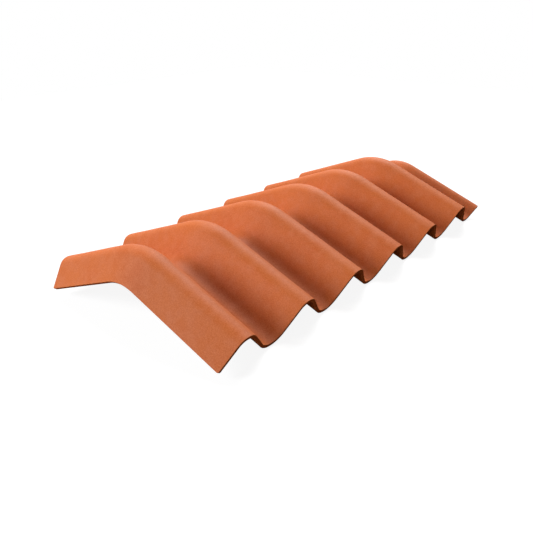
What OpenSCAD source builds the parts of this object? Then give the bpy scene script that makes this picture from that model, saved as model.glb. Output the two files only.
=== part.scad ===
// Corrugated ridge tile: one moulded sheet of fibre cement. Its waves run
// straight down both wings and turn over the ridge in a round bend.

/* [Waves] */
// Distance from one crest to the next
wave_pitch = 177; // [150:1:210]
// Height from trough to crest, on the middle of the sheet
wave_depth = 69.5; // [48:0.5:84]
// Radius of a crest, on the middle of the sheet
crest_radius = 28; // [16:1:36]
// Radius of a trough, on the middle of the sheet
trough_radius = 42; // [24:1:48]
// Number of crests
crest_count = 6; // [2:1:8]

/* [Ends] */
// From the cut end to the first crest
start_run = 61; // [52:1:80]
// From the last trough to the end of the lip
end_run = 58; // [54:1:84]
// Height of the lip above the troughs, on the middle of the sheet
lip_height = 29; // [20:1:36]
// Radius that levels the lip out, on the middle of the sheet
lip_radius = 20; // [12:1:28]

/* [Sheet] */
// Thickness of the sheet
thickness = 7.5; // [5:0.5:9]

/* [Ridge] */
// Slope of each wing
slope = 21; // [10:1:35]
// Radius of the ridge bend at the troughs, on the middle of the sheet
bend_radius = 97; // [60:1:140]
// Straight length of each wing, from the bend to its eave
wing_length = 242; // [150:1:320]

/* [Hidden] */
$fn = 96;

// Arcs are this much larger than tangent ones, so that they always meet the flanks
arc_margin = 0.002;
// Angle that each half of the bend is made past the middle before it is cut
overrun = 2;

tile_length = start_run + (crest_count - 0.5) * wave_pitch + end_run;
start = -tile_length / 2;
// Height of the eave's lowest edge, measured from the bend's axis
eave_level = (bend_radius - thickness / 2) * cos(slope) - wing_length * sin(slope);
// Level that the outlines below the sheet are closed at
base_level = -2 * (lip_radius + thickness);

// A turn of the sheet is [x, height, radius], where x and height are its extreme point
first_trough = [start + start_run - wave_pitch / 2, 0, trough_radius];
crests = [for (i = [0:crest_count - 1])
    [start + start_run + i * wave_pitch, wave_depth, crest_radius]];
troughs = [for (crest = crests) [crest[0] + wave_pitch / 2, 0, trough_radius]];
last = crest_count - 1;
lip = [start + tile_length, lip_height, lip_radius];

// Slope of the straight flank between a trough and a crest
function flank_angle(low, high) =
    let (run = high[0] - low[0], rise = high[1] - high[2] - low[1] - low[2])
    atan2(rise, run) + asin((low[2] + high[2]) / norm([run, rise]));

wave_angle = flank_angle(first_trough, crests[0]);
lip_angle = flank_angle(troughs[last], lip);

// Where a trough's arc meets the flank at its left (side -1) or right (side 1),
// on the surface at a distance above the middle of the sheet
function trough_end(turn, angle, side, above) =
    [turn[0], turn[1] + turn[2]] + (turn[2] - above) * [side * sin(angle), -cos(angle)];

// The same for a crest's arc
function crest_end(turn, angle, side, above) =
    [turn[0], turn[1] - turn[2]] + (turn[2] + above) * [side * sin(angle), cos(angle)];

// Everything below the surface at a distance above the middle of the sheet
module below_surface(above) {
    first_end = trough_end(first_trough, wave_angle, 1, above);
    lip_end = crest_end(lip, lip_angle, -1, above);
    difference() {
        union() {
            polygon([
                [first_trough[0], base_level],
                [first_trough[0], first_end[1]],
                first_end,
                for (i = [0:last]) each [
                    crest_end(crests[i], wave_angle, -1, above),
                    crest_end(crests[i], wave_angle, 1, above),
                    trough_end(troughs[i], wave_angle, -1, above),
                    trough_end(troughs[i], i < last ? wave_angle : lip_angle, 1, above),
                ],
                lip_end,
                [lip[0], lip_end[1]],
                [lip[0], base_level],
            ]);
            for (turn = [each crests, lip])
                translate([turn[0], turn[1] - turn[2]])
                    circle(r = turn[2] + above + arc_margin);
        }
        for (turn = [first_trough, each troughs])
            translate([turn[0], turn[1] + turn[2]])
                circle(r = turn[2] - above + arc_margin);
    }
}

// Everything beyond the start end, which is cut square to the sheet, through the
// end of its top surface. That lies on the first trough's arc or on the flank.
module beyond_start() {
    reach = 2 * wave_depth;
    top_radius = trough_radius - thickness / 2;
    from_trough = start - first_trough[0];
    arc_angle = asin(min(1, from_trough / top_radius));
    on_arc = arc_angle < wave_angle;
    flank_foot = trough_end(first_trough, wave_angle, 1, thickness / 2);
    height = on_arc
        ? trough_radius - top_radius * cos(arc_angle)
        : flank_foot[1] + (start - flank_foot[0]) * tan(wave_angle);
    translate([start, height])
        rotate(on_arc ? arc_angle : wave_angle)
            translate([-reach, -reach])
                square([reach, 2 * reach]);
}

// Cross section of the sheet along the ridge
module wave_section() {
    difference() {
        below_surface(thickness / 2);
        below_surface(-thickness / 2);
        beyond_start();
        translate([start + tile_length, base_level])
            square([2 * (lip_radius + thickness), lip_height + 2 * thickness - base_level]);
    }
}

// Wing that runs level towards -Y, with its half of the bend over the ridge,
// about the X axis. The bend runs a little past the middle of the ridge.
module level_half() {
    bend_angle = slope + overrun;
    rotate([90, 0, 0])
        translate([0, bend_radius, 0])
            linear_extrude(height = wing_length)
                wave_section();
    rotate([180, 0, 0])
        rotate([0, 90, 0])
            rotate_extrude(angle = bend_angle, start = -bend_angle)
                translate([bend_radius, 0])
                    mirror([1, 0])
                        rotate(90)
                            wave_section();
}

// The same half at its slope, cut off at the middle of the ridge
module sloping_half() {
    reach = tile_length + bend_radius + wave_depth + wing_length;
    intersection() {
        rotate([slope, 0, 0])
            level_half();
        translate([-reach, -reach, -reach])
            cube([2 * reach, reach, 2 * reach]);
    }
}

module ridge_tile() {
    color("#c26a3f")
        translate([0, 0, -eave_level])
            union() {
                sloping_half();
                mirror([0, 1, 0])
                    sloping_half();
            }
}

ridge_tile();
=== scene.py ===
"""Corrugated ridge tile: one moulded sheet of terracotta-coloured fibre cement, in a white studio.

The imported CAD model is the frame. The sheet is modelled again here as a caster would loft it: the wave
line is drawn along the ridge, swung round the bend, drawn out into a wing, mirrored to the other slope
and given its thickness, rounded arrises and slight unevenness.
"""

import logging
import math
from dataclasses import dataclass
from enum import Enum

import bmesh
import bpy
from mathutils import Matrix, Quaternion, Vector

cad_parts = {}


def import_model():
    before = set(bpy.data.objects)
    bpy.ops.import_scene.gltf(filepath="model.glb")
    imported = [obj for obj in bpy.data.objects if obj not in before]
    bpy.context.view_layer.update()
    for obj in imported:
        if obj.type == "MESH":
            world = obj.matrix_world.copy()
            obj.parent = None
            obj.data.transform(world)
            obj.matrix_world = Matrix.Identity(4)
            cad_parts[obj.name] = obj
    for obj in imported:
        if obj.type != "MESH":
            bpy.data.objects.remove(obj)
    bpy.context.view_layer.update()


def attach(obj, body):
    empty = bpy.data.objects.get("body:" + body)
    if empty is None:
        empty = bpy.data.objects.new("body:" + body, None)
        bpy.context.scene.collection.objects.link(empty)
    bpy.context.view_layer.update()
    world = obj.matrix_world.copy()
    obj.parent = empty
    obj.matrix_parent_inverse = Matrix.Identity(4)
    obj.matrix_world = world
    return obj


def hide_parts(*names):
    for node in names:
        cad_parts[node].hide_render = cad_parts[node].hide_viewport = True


MM = 0.001
CAD_NODE = "ridge_tile"
BODY = "root"

log = logging.getLogger("ridge_tile")


def srgb(code: str) -> tuple[float, float, float, float]:
    """Turns an sRGB hex colour into the linear colour that Blender's sockets take.

    Args:
        code: Six hex digits with a leading hash.

    Returns:
        Linear red, green, blue and an alpha of 1.
    """
    shares = [int(code[i : i + 2], 16) / 255 for i in (1, 3, 5)]
    linear = [s / 12.92 if s <= 0.04045 else ((s + 0.055) / 1.055) ** 2.4 for s in shares]
    return (*linear, 1.0)


def add_node(
    tree: bpy.types.NodeTree, kind: str, settings: dict | None = None, inputs: dict | None = None
) -> bpy.types.Node:
    """Adds one node with its settings, its input values and its incoming links.

    Args:
        tree: The node tree that gets the node.
        kind: The node's type name in Blender.
        settings: Values for the node's own properties.
        inputs: Value or output socket for each input, by its name or its index.

    Returns:
        The new node.
    """
    node = tree.nodes.new(kind)
    for name, value in (settings or {}).items():
        setattr(node, name, value)
    for name, value in (inputs or {}).items():
        if isinstance(value, bpy.types.NodeSocket):
            tree.links.new(value, node.inputs[name])
        else:
            node.inputs[name].default_value = value
    return node


class TurnKind(Enum):
    """Whether a turn of the wave line bulges up or down."""

    CREST = -1
    TROUGH = 1


@dataclass(frozen=True)
class Turn:
    """One round turn of the wave line on the middle of the sheet, in millimetres.

    x and height are its highest or lowest point.
    """

    kind: TurnKind
    x: float
    height: float
    radius: float

    @property
    def centre_height(self) -> float:
        """Height of the turn's centre."""
        return self.height + self.kind.value * self.radius

    def point(self, angle: float) -> tuple[float, float]:
        """Point of the turn at an angle from its extreme point, positive towards the lip end.

        Args:
            angle: Angle in radians.

        Returns:
            The point's x and height in millimetres.
        """
        x = self.x + self.radius * math.sin(angle)
        return x, self.centre_height - self.kind.value * self.radius * math.cos(angle)


@dataclass(frozen=True)
class TileSizes:
    """The tile's sizes in millimetres and degrees, the same as in the part's source."""

    wave_pitch: float = 177.0
    wave_depth: float = 69.5
    crest_radius: float = 28.0
    trough_radius: float = 42.0
    crest_count: int = 6
    start_run: float = 61.0
    end_run: float = 58.0
    lip_height: float = 29.0
    lip_radius: float = 20.0
    thickness: float = 7.5
    slope: float = 21.0
    bend_radius: float = 97.0
    wing_length: float = 242.0

    @property
    def length(self) -> float:
        """Length of the tile along the ridge."""
        return self.start_run + (self.crest_count - 0.5) * self.wave_pitch + self.end_run

    @property
    def eave_level(self) -> float:
        """Height of the eave's lowest edge above the axis of the bend.

        Returns:
            The height in millimetres.
        """
        angle = math.radians(self.slope)
        inner_radius = self.bend_radius - self.thickness / 2
        return inner_radius * math.cos(angle) - self.wing_length * math.sin(angle)

    @property
    def turns(self) -> list[Turn]:
        """The turns of the wave line from the start end to the lip.

        Returns:
            The turns in their order along the ridge.
        """
        first = -self.length / 2 + self.start_run - self.wave_pitch / 2
        turns = [Turn(TurnKind.TROUGH, first, 0.0, self.trough_radius)]
        for index in range(self.crest_count):
            crest = first + (index + 0.5) * self.wave_pitch
            turns.append(Turn(TurnKind.CREST, crest, self.wave_depth, self.crest_radius))
            turns.append(Turn(TurnKind.TROUGH, crest + self.wave_pitch / 2, 0.0, self.trough_radius))
        turns.append(Turn(TurnKind.CREST, self.length / 2, self.lip_height, self.lip_radius))
        return turns

    @property
    def cut_angle(self) -> float:
        """Angle on the first trough's arc at which the start end is cut, in radians."""
        across = self.wave_pitch / 2 - self.start_run
        return math.asin(across / (self.trough_radius - self.thickness / 2))

    @staticmethod
    def flank_angle(one: Turn, other: Turn) -> float:
        """Slope of the straight flank between a trough and a crest.

        Args:
            one: The flank's trough or crest.
            other: The turn at the flank's other end.

        Returns:
            The slope in radians.
        """
        low, high = (one, other) if one.kind is TurnKind.TROUGH else (other, one)
        run = abs(high.x - low.x)
        rise = high.centre_height - low.centre_height
        return math.atan2(rise, run) + math.asin((low.radius + high.radius) / math.hypot(run, rise))


@dataclass(frozen=True)
class FibreCement:
    """Pressed fibre cement, coloured through with iron oxide and sealed with a thin acrylic.

    The felt of the press leaves its face matt and nearly smooth. The pigment gathers in soft clouds, a
    film of lime bloom pales it in patches, and fine sand and fibre ends give it a grain. The sealer
    gives the crests their soft pale highlights.
    """

    name: str = "fibre_cement_pressed_face"
    body_colour: str = "#C25E1E"
    deep_colour: str = "#BD571A"
    bloom_colour: str = "#C46534"
    # Pale grains of sand and fibre ends, and the most that they cover of the cement
    sand_colour: str = "#DE9468"
    sand_share: float = 0.24
    roughness: float = 0.91
    # How much rougher the cement is where it has bloomed, and smoother where it hasn't
    roughness_swing: float = 0.05
    gloss_level: float = 0.10
    sealer_level: float = 0.41
    sealer_roughness: float = 0.58
    # Width of a cloud and of a bloomed patch, and the noise levels that each comes in between
    cloud_mm: float = 95.0
    cloud_limits: tuple[float, float] = (0.38, 0.70)
    bloom_mm: float = 24.0
    bloom_limits: tuple[float, float] = (0.36, 0.72)
    # The sand is under 1 mm across. It is drawn at 2.2 mm, so that it shows at the picture's size.
    grain_mm: float = 2.2
    grain_contrast: float = 0.06
    bloom_relief_mm: float = 0.25
    grain_relief_mm: float = 0.08

    def material(self) -> bpy.types.Material:
        """Builds the finish as a node material.

        Returns:
            The material.
        """
        material = bpy.data.materials.new(self.name)
        material.use_nodes = True
        tree = material.node_tree
        tree.nodes.clear()
        place = add_node(tree, "ShaderNodeTexCoord").outputs["Object"]
        clouds, bloom, grain = (
            add_node(
                tree,
                "ShaderNodeTexNoise",
                {"noise_dimensions": "3D"},
                {"Vector": place, "Scale": 1 / (size_mm * MM), "Detail": detail, "Roughness": 0.55},
            ).outputs["Fac"]
            for size_mm, detail in ((self.cloud_mm, 3.0), (self.bloom_mm, 4.0), (self.grain_mm, 2.0))
        )
        # Nearly all of a noise lies between these two levels
        low = 0.3
        high = 0.7
        gloss = add_node(
            tree,
            "ShaderNodeMapRange",
            {},
            {
                "Value": bloom,
                "From Min": low,
                "From Max": high,
                "To Min": self.roughness - self.roughness_swing,
                "To Max": self.roughness + self.roughness_swing,
            },
        )
        grain_level = add_node(
            tree,
            "ShaderNodeMapRange",
            {},
            {
                "Value": grain,
                "From Min": low,
                "From Max": high,
                "To Min": 1 - self.grain_contrast,
                "To Max": 1 + self.grain_contrast,
            },
        )
        sand_share = add_node(
            tree,
            "ShaderNodeMapRange",
            {},
            {"Value": grain, "From Min": low, "From Max": high, "To Max": self.sand_share},
        )
        cement = self._cement_colour(tree, clouds, bloom)
        sanded = add_node(
            tree,
            "ShaderNodeMix",
            {"data_type": "RGBA"},
            {0: sand_share.outputs["Result"], 6: cement, 7: srgb(self.sand_colour)},
        )
        colour = add_node(
            tree,
            "ShaderNodeHueSaturation",
            {},
            {"Value": grain_level.outputs["Result"], "Color": sanded.outputs[2]},
        )
        relief = self._relief(tree, bloom, grain)
        shader = add_node(
            tree,
            "ShaderNodeBsdfPrincipled",
            {},
            {
                "Base Color": colour.outputs["Color"],
                "Roughness": gloss.outputs["Result"],
                "IOR": 1.5,
                "Specular IOR Level": self.gloss_level,
                "Coat Weight": self.sealer_level,
                "Coat Roughness": self.sealer_roughness,
                "Coat Normal": relief,
                "Normal": relief,
            },
        )
        add_node(tree, "ShaderNodeOutputMaterial", {}, {"Surface": shader.outputs["BSDF"]})
        return material

    def _cement_colour(
        self, tree: bpy.types.NodeTree, clouds: bpy.types.NodeSocket, bloom: bpy.types.NodeSocket
    ) -> bpy.types.NodeSocket:
        """Adds the cement's own colour, with its deeper clouds and its paler bloom.

        Args:
            tree: The finish's node tree.
            clouds: Noise of the clouds.
            bloom: Noise of the bloom.

        Returns:
            The colour.
        """
        deep_share = add_node(
            tree,
            "ShaderNodeMapRange",
            {"interpolation_type": "SMOOTHSTEP"},
            {"Value": clouds, "From Min": self.cloud_limits[0], "From Max": self.cloud_limits[1]},
        )
        bloom_share = add_node(
            tree,
            "ShaderNodeMapRange",
            {"interpolation_type": "SMOOTHSTEP"},
            {"Value": bloom, "From Min": self.bloom_limits[0], "From Max": self.bloom_limits[1]},
        )
        deep = add_node(
            tree,
            "ShaderNodeMix",
            {"data_type": "RGBA"},
            {0: deep_share.outputs["Result"], 6: srgb(self.body_colour), 7: srgb(self.deep_colour)},
        )
        bloomed = add_node(
            tree,
            "ShaderNodeMix",
            {"data_type": "RGBA"},
            {0: bloom_share.outputs["Result"], 6: deep.outputs[2], 7: srgb(self.bloom_colour)},
        )
        return bloomed.outputs[2]

    def _relief(
        self, tree: bpy.types.NodeTree, bloom: bpy.types.NodeSocket, grain: bpy.types.NodeSocket
    ) -> bpy.types.NodeSocket:
        """Adds the fine relief of the bloomed patches and of the sand.

        Args:
            tree: The finish's node tree.
            bloom: Noise of the bloom.
            grain: Noise of the sand.

        Returns:
            The normal.
        """
        bloom_bump = add_node(
            tree,
            "ShaderNodeBump",
            {},
            {"Strength": 1.0, "Distance": self.bloom_relief_mm * MM, "Height": bloom},
        )
        grain_bump = add_node(
            tree,
            "ShaderNodeBump",
            {},
            {
                "Strength": 1.0,
                "Distance": self.grain_relief_mm * MM,
                "Height": grain,
                "Normal": bloom_bump.outputs["Normal"],
            },
        )
        return grain_bump.outputs["Normal"]


# Unsealed fibre cement of the underside and the cut edges. It is open and without any gloss, and little
# pale sand shows in it, so its orange is deeper than the face's.
RAW_SIDE = FibreCement(
    name="fibre_cement_raw_side",
    body_colour="#CB571C",
    deep_colour="#B64C15",
    bloom_colour="#CE6129",
    roughness=0.90,
    gloss_level=0.0,
    sealer_level=0.0,
    sand_share=0.12,
    bloom_mm=14.0,
    grain_contrast=0.10,
    bloom_relief_mm=0.35,
    grain_relief_mm=0.20,
)
# Fibre cement of the arrises. They are rubbed where tiles touch each other in the stack, which takes the
# sealer off them and leaves them matt. Their paler colour is partly that wear and partly painted highlight:
# the light line that a lit edge catches.
ARRIS_WEAR_AND_PAINTED_HIGHLIGHT = FibreCement(
    name="fibre_cement_arris_wear_and_painted_highlight",
    body_colour="#CB6930",
    deep_colour="#C56028",
    bloom_colour="#CF7648",
    roughness=0.85,
    gloss_level=0.04,
    sealer_level=0.0,
    bloom_mm=10.0,
)


class Surface(Enum):
    """The kinds of surface on the sheet, by the place of their finish."""

    PRESSED_FACE = 0
    RAW_SIDE = 1
    ARRIS = 2


@dataclass
class RidgeTile:
    """The sheet itself: six waves, two wings, the bend between them and the lip."""

    sizes: TileSizes
    # One finish for each Surface, in its order
    finishes: tuple[FibreCement, ...]
    name: str = "corrugated_sheet"
    # Turn of each step round a crest, a trough or the bend, in degrees
    wave_step: float = 7.5
    bend_step: float = 2.1
    # Length of each step along a flank and down a wing, in millimetres
    flank_step: float = 8.0
    wing_step: float = 9.0
    # Radius of the arrises, and the steps that round one
    arris: float = 1.0
    arris_steps: int = 3
    # Radii of the corners at the start end and at the lip end, as seen from above
    start_corner: float = 4.0
    lip_corner: float = 2.4
    corner_steps: int = 4
    # How far the moulding's face lies below the true one, how long its swells are, and how far in from
    # the sheet's edges it comes in fully
    unevenness: float = 0.6
    unevenness_span: float = 85.0
    unevenness_fade: float = 40.0
    # Vertices nearer than this are one and the same
    merge_distance: float = 0.01
    # Faces that meet at less than the first angle shade smoothly. Past the second they form an arris.
    smooth_angle: float = 40.0
    arris_angle: float = 50.0

    def build(self) -> bpy.types.Object:
        """Models the sheet.

        Returns:
            The finished object, at the origin.
        """
        bpy.ops.object.select_all(action="DESELECT")
        bpy.ops.mesh.primitive_plane_add(size=self.sizes.thickness * MM, location=(0, 0, 0))
        sheet = bpy.context.object
        sheet.name = self.name
        sheet.data.name = self.name
        for finish in self.finishes:
            sheet.data.materials.append(finish.material())
        bpy.ops.object.mode_set(mode="EDIT")
        bpy.ops.mesh.merge(type="CENTER")
        self._draw_wave_line()
        self._swing_bend()
        self._draw_out_wing()
        bpy.ops.object.mode_set(mode="OBJECT")
        self._mirror_wing(sheet)
        self._round_corners(-1, self.start_corner)
        self._round_corners(1, self.lip_corner)
        self._make_uneven(sheet)
        self._thicken(sheet)
        return sheet

    def _ridge_point(self, x: float, height: float) -> Vector:
        """Place in metres, over the ridge, of a point of the wave line in millimetres."""
        return Vector((x, 0, self.sizes.bend_radius + height - self.sizes.eave_level)) * MM

    def _draw_wave_line(self) -> None:
        """Draws the wave line along the ridge from one vertex, flank by flank and turn by turn."""
        turns = self.sizes.turns
        at = self._ridge_point(*turns[0].point(self.sizes.cut_angle))
        bpy.ops.transform.translate(value=at)
        for index, turn in enumerate(turns):
            before = turns[index - 1] if index else None
            after = turns[index + 1] if index + 1 < len(turns) else None
            from_angle = -self.sizes.flank_angle(before, turn) if before else self.sizes.cut_angle
            to_angle = self.sizes.flank_angle(turn, after) if after else 0.0
            entry = self._ridge_point(*turn.point(from_angle))
            if before:
                bpy.ops.mesh.extrude_region_move(TRANSFORM_OT_translate={"value": entry - at})
            steps = max(1, round(math.degrees(to_angle - from_angle) / self.wave_step))
            bpy.ops.mesh.spin(
                steps=steps,
                angle=turn.kind.value * (to_angle - from_angle),
                center=self._ridge_point(turn.x, turn.centre_height),
                axis=(0, 1, 0),
            )
            at = self._ridge_point(*turn.point(to_angle))
        self._subdivide_long_edges(3 * self.flank_step, self.flank_step)

    def _swing_bend(self) -> None:
        """Swings the wave line about the bend's axis, from over the ridge to the near wing."""
        bpy.ops.mesh.select_all(action="SELECT")
        bpy.ops.mesh.spin(
            steps=round(self.sizes.slope / self.bend_step),
            angle=math.radians(self.sizes.slope),
            center=(0, 0, -self.sizes.eave_level * MM),
            axis=(-1, 0, 0),
        )

    def _draw_out_wing(self) -> None:
        """Draws the end of the bend out into the near wing, down to its eave."""
        angle = math.radians(self.sizes.slope)
        along = Vector((0, -math.cos(angle), -math.sin(angle))) * self.sizes.wing_length * MM
        bpy.ops.mesh.extrude_region_move(TRANSFORM_OT_translate={"value": along})
        self._subdivide_long_edges(self.sizes.wing_length / 2, self.wing_step)

    def _subdivide_long_edges(self, longer_than: float, step: float) -> None:
        """Divides the long edges into steps.

        Args:
            longer_than: Length in millimetres above which an edge is divided.
            step: Length of a step in millimetres, which is rounded to fit the longest edge.
        """
        bpy.ops.mesh.select_all(action="DESELECT")
        bpy.ops.mesh.select_mode(type="EDGE")
        shape = bmesh.from_edit_mesh(bpy.context.object.data)
        found = [edge for edge in shape.edges if edge.calc_length() > longer_than * MM]
        for edge in found:
            edge.select_set(True)
        bmesh.update_edit_mesh(bpy.context.object.data)
        cuts = round(max(edge.calc_length() for edge in found) / (step * MM)) - 1
        bpy.ops.mesh.subdivide(number_cuts=cuts)
        bpy.ops.mesh.select_mode(type="VERT")

    def _mirror_wing(self, sheet: bpy.types.Object) -> None:
        """Mirrors the near wing to the far slope and turns all faces upwards.

        Args:
            sheet: The near half of the sheet, still without thickness.
        """
        mirror = sheet.modifiers.new("far_wing", "MIRROR")
        mirror.use_axis = (False, True, False)
        mirror.merge_threshold = self.merge_distance * MM
        bpy.ops.object.modifier_apply(modifier=mirror.name)
        bpy.ops.object.mode_set(mode="EDIT")
        bpy.ops.mesh.select_all(action="SELECT")
        bpy.ops.mesh.remove_doubles(threshold=self.merge_distance * MM)
        bpy.ops.mesh.normals_make_consistent(inside=False)
        bpy.ops.object.mode_set(mode="OBJECT")
        if sheet.data.polygons[0].normal.z < 0:
            bpy.ops.object.mode_set(mode="EDIT")
            bpy.ops.mesh.flip_normals()
            bpy.ops.object.mode_set(mode="OBJECT")

    def _round_corners(self, end: int, radius: float) -> None:
        """Rounds the two corners at one end of the sheet.

        Args:
            end: -1 for the start end and 1 for the lip end.
            radius: Radius in millimetres.
        """
        bpy.ops.object.mode_set(mode="EDIT")
        bpy.ops.mesh.select_all(action="DESELECT")
        shape = bmesh.from_edit_mesh(bpy.context.object.data)
        for vertex in shape.verts:
            if len(vertex.link_edges) == 2 and vertex.co.x * end > 0:
                vertex.select_set(True)
        bmesh.update_edit_mesh(bpy.context.object.data)
        bpy.ops.mesh.bevel(affect="VERTICES", offset=radius * MM, segments=self.corner_steps)
        bpy.ops.object.mode_set(mode="OBJECT")

    def _make_uneven(self, sheet: bpy.types.Object) -> None:
        """Gives the sheet the slight unevenness of a moulding, which fades out towards its edges.

        Args:
            sheet: The whole sheet, still without thickness.
        """
        inner = sheet.vertex_groups.new(name="inner")
        slope = math.radians(self.sizes.slope)
        eave = (self.sizes.bend_radius * math.sin(slope) + self.sizes.wing_length * math.cos(slope)) * MM
        for vertex in sheet.data.vertices:
            to_eave = eave - abs(vertex.co.y)
            to_end = self.sizes.length / 2 * MM - abs(vertex.co.x)
            share = max(0.0, min(1.0, min(to_eave, to_end) / (self.unevenness_fade * MM)))
            inner.add([vertex.index], share * share * (3 - 2 * share), "REPLACE")
        texture = bpy.data.textures.new("mould_unevenness", "CLOUDS")
        texture.noise_scale = self.unevenness_span * MM
        texture.noise_depth = 1
        uneven = sheet.modifiers.new("unevenness", "DISPLACE")
        uneven.texture = texture
        uneven.texture_coords = "LOCAL"
        uneven.direction = "NORMAL"
        uneven.mid_level = 1.0
        uneven.strength = self.unevenness * MM
        uneven.vertex_group = inner.name
        bpy.ops.object.modifier_apply(modifier=uneven.name)
        bpy.ops.object.vertex_group_remove(all=True)

    def _thicken(self, sheet: bpy.types.Object) -> None:
        """Gives the sheet its thickness, with edges cut square to it and rounded arrises.

        Args:
            sheet: The whole sheet, still without thickness.
        """
        wall = sheet.modifiers.new("thickness", "SOLIDIFY")
        wall.thickness = self.sizes.thickness * MM
        wall.offset = 0.0
        wall.use_even_offset = True
        wall.use_quality_normals = True
        wall.material_offset = Surface.RAW_SIDE.value
        wall.material_offset_rim = Surface.RAW_SIDE.value
        bpy.ops.object.modifier_apply(modifier=wall.name)
        # The thickened lip leans out a little at its edge, which is trimmed to one upright plane
        lip_end = self.sizes.length / 2 * MM
        for vertex in sheet.data.vertices:
            vertex.co.x = min(vertex.co.x, lip_end)
        bpy.ops.object.shade_smooth_by_angle(angle=math.radians(self.smooth_angle))
        arris = sheet.modifiers.new("arrises", "BEVEL")
        arris.width = self.arris * MM
        arris.segments = self.arris_steps
        arris.limit_method = "ANGLE"
        arris.angle_limit = math.radians(self.arris_angle)
        arris.harden_normals = True
        arris.material = Surface.ARRIS.value
        bpy.ops.object.modifier_apply(modifier=arris.name)

    def put_in_frame(self, sheet: bpy.types.Object) -> None:
        """Lets the sheet stand for the CAD node, on its body.

        Args:
            sheet: The finished sheet.
        """
        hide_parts(CAD_NODE)
        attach(sheet, BODY)


def seen_share(tree: bpy.types.NodeTree) -> bpy.types.NodeSocket:
    """Adds nodes that tell what is seen, by the lens, in gloss or through glass, from what only lights.

    Args:
        tree: The node tree of the floor or the room.

    Returns:
        A socket that is 1 for what is seen and 0 for the rest.
    """
    path = add_node(tree, "ShaderNodeLightPath")
    either = add_node(
        tree,
        "ShaderNodeMath",
        {"operation": "MAXIMUM"},
        {0: path.outputs["Is Camera Ray"], 1: path.outputs["Is Glossy Ray"]},
    )
    any_of = add_node(
        tree,
        "ShaderNodeMath",
        {"operation": "MAXIMUM"},
        {0: either.outputs[0], 1: path.outputs["Is Transmission Ray"]},
    )
    return any_of.outputs[0]


@dataclass(frozen=True)
class StudioFloor:
    """A matt white floor, which runs out into the white room. Its sizes are in metres."""

    half_width: float = 3.0
    # Gap under the tile, so that the eaves don't sink into the floor
    drop: float = 0.0002
    # What is seen: paint that takes the tile's shadow, with a light of its own that burns it out to white
    seen_colour: str = "#7C7C7C"
    seen_glow: float = 0.90
    # What lights the tile from below: in the photograph hardly anything does
    bounce_colour: str = "#4C4C4C"

    def build(self) -> bpy.types.Object:
        """Lays the floor just under the tile.

        Returns:
            The floor.
        """
        bpy.ops.object.select_all(action="DESELECT")
        bpy.ops.mesh.primitive_plane_add(size=2 * self.half_width, location=(0, 0, -self.drop))
        floor = bpy.context.object
        floor.name = "studio_floor"
        material = bpy.data.materials.new("floor_paint")
        material.use_nodes = True
        tree = material.node_tree
        tree.nodes.clear()
        paint = add_node(tree, "ShaderNodeBsdfDiffuse", {}, {"Color": srgb(self.seen_colour)})
        glow = add_node(tree, "ShaderNodeEmission", {}, {"Strength": self.seen_glow})
        seen = add_node(tree, "ShaderNodeAddShader", {}, {0: paint.outputs[0], 1: glow.outputs[0]})
        bounce = add_node(tree, "ShaderNodeBsdfDiffuse", {}, {"Color": srgb(self.bounce_colour)})
        mix = add_node(
            tree, "ShaderNodeMixShader", {}, {0: seen_share(tree), 1: bounce.outputs[0], 2: seen.outputs[0]}
        )
        add_node(tree, "ShaderNodeOutputMaterial", {}, {"Surface": mix.outputs[0]})
        floor.data.materials.append(material)
        return floor


@dataclass(frozen=True)
class SoftLamp:
    """A large soft lamp that points at the tile.

    Its level is how bright a white surface at the tile looks that faces the lamp, where 1 is white. Its
    distance is in metres, and its spread is its width over its distance.
    """

    name: str
    azimuth: float
    elevation: float
    level: float
    distance: float
    spread: float = 0.55
    colour: str = "#FFFFFF"

    def hang(self) -> bpy.types.Object:
        """Hangs the lamp at its bearing from the tile's middle.

        Returns:
            The lamp.
        """
        bearing = bearing_vector(self.azimuth, self.elevation)
        bpy.ops.object.light_add(type="AREA", location=bearing * self.distance)
        lamp = bpy.context.object
        lamp.name = self.name
        lamp.data.shape = "DISK"
        lamp.data.size = self.spread * self.distance
        # The lamp lights a surface by its power / (pi * distance²), and white paint shows that / pi
        lamp.data.energy = self.level * math.pi**2 * self.distance**2
        lamp.data.color = srgb(self.colour)[:3]
        lamp.rotation_euler = bearing.to_track_quat("Z", "Y").to_euler()
        return lamp


def bearing_vector(azimuth: float, elevation: float) -> Vector:
    """Direction from the tile towards a lamp or the camera.

    Args:
        azimuth: Degrees round the tile. 0 is the near side, and 90 the lip end.
        elevation: Degrees above the floor.

    Returns:
        A vector of length 1.
    """
    around, up = math.radians(azimuth), math.radians(elevation)
    return Vector((math.sin(around) * math.cos(up), -math.cos(around) * math.cos(up), math.sin(up)))


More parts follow.
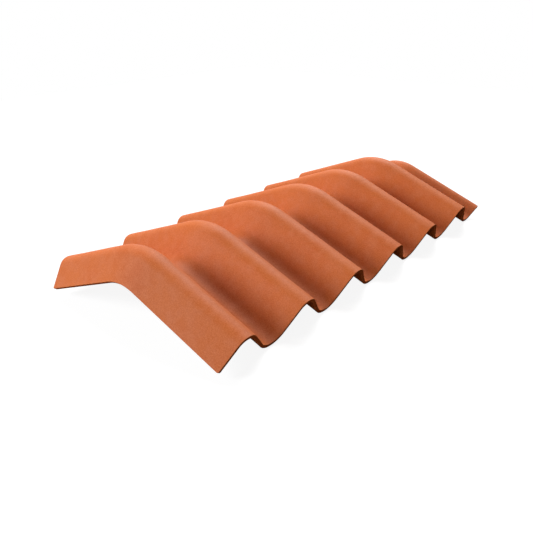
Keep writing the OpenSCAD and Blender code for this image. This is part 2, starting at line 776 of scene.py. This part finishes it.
@dataclass(frozen=True)
class Studio:
    """The soft light round the tile, which comes from behind it on both sides."""

    lamps: tuple[SoftLamp, ...] = (
        SoftLamp("rear_right_softbox", azimuth=132, elevation=54, level=0.78, distance=7.2, spread=0.63),
        SoftLamp("right_softbox", azimuth=111, elevation=42, level=0.518, distance=7.0, spread=0.5),
        SoftLamp(
            "rear_left_softbox", azimuth=-120.5, elevation=27.7, level=0.723, distance=6.9, spread=0.41
        ),
        SoftLamp("left_softbox", azimuth=-73.7, elevation=16, level=0.171, distance=6.0),
        SoftLamp("low_front_fill", azimuth=-42, elevation=6, level=0.06, distance=6.0, spread=0.12),
    )
    room_level: float = 0.01

    def light(self) -> None:
        """Hangs the lamps and sets the room's own light, which is white where it is seen."""
        white = srgb("#FFFFFF")
        for lamp in self.lamps:
            lamp.hang()
        world = bpy.data.worlds.new("white_room")
        bpy.context.scene.world = world
        world.use_nodes = True
        tree = world.node_tree
        tree.nodes.clear()
        seen = add_node(tree, "ShaderNodeBackground", {}, {"Strength": 1.0, "Color": white})
        room = add_node(tree, "ShaderNodeBackground", {}, {"Strength": self.room_level, "Color": white})
        mix = add_node(
            tree, "ShaderNodeMixShader", {}, {0: seen_share(tree), 1: room.outputs[0], 2: seen.outputs[0]}
        )
        add_node(tree, "ShaderNodeOutputWorld", {}, {"Surface": mix.outputs[0]})


@dataclass(frozen=True)
class PhotoCamera:
    """The photograph's camera, as found from the tile's outline in it.

    Pixels are those of the photograph, and lengths are in millimetres.
    """

    sensor: float = 36.0
    image_px: int = 533
    focal_px: float = 601.2
    centre_px: tuple[float, float] = (283.5, 255.5)
    azimuth: float = -50.02
    elevation: float = 23.72
    roll: float = -0.63
    distance: float = 1374.1
    target: tuple[float, float, float] = (-184.3, -116.7, 79.7)

    def place(self) -> bpy.types.Object:
        """Places the camera and makes it the scene's own.

        Returns:
            The camera.
        """
        back = bearing_vector(self.azimuth, self.elevation)
        bpy.ops.object.camera_add(location=(Vector(self.target) + back * self.distance) * MM)
        camera = bpy.context.object
        camera.name = "photo_camera"
        turn = back.to_track_quat("Z", "Y")
        turn.rotate(Quaternion(back, math.radians(self.roll)))
        camera.rotation_euler = turn.to_euler()
        camera.data.sensor_width = self.sensor
        camera.data.lens = self.focal_px / self.image_px * self.sensor
        camera.data.shift_x = (self.image_px / 2 - self.centre_px[0]) / self.image_px
        camera.data.shift_y = (self.centre_px[1] - self.image_px / 2) / self.image_px
        camera.data.clip_start = 0.01
        camera.data.clip_end = 200.0
        bpy.context.scene.camera = camera
        return camera


def main() -> None:
    """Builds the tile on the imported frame, dresses it and sets up the studio."""
    logging.basicConfig(level=logging.INFO, format="%(name)s: %(message)s")
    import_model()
    # The arris finish is paler partly from wear and partly as a painted highlight along the edges
    tile = RidgeTile(TileSizes(), (FibreCement(), RAW_SIDE, ARRIS_WEAR_AND_PAINTED_HIGHLIGHT))
    sheet = tile.build()
    tile.put_in_frame(sheet)
    triangles = sum(len(face.vertices) - 2 for face in sheet.data.polygons)
    log.info("%s: %d faces, %d triangles", sheet.name, len(sheet.data.polygons), triangles)
    StudioFloor().build()
    Studio().light()
    PhotoCamera().place()
    bpy.context.scene.view_settings.view_transform = "Standard"


if __name__ == "__main__":
    main()
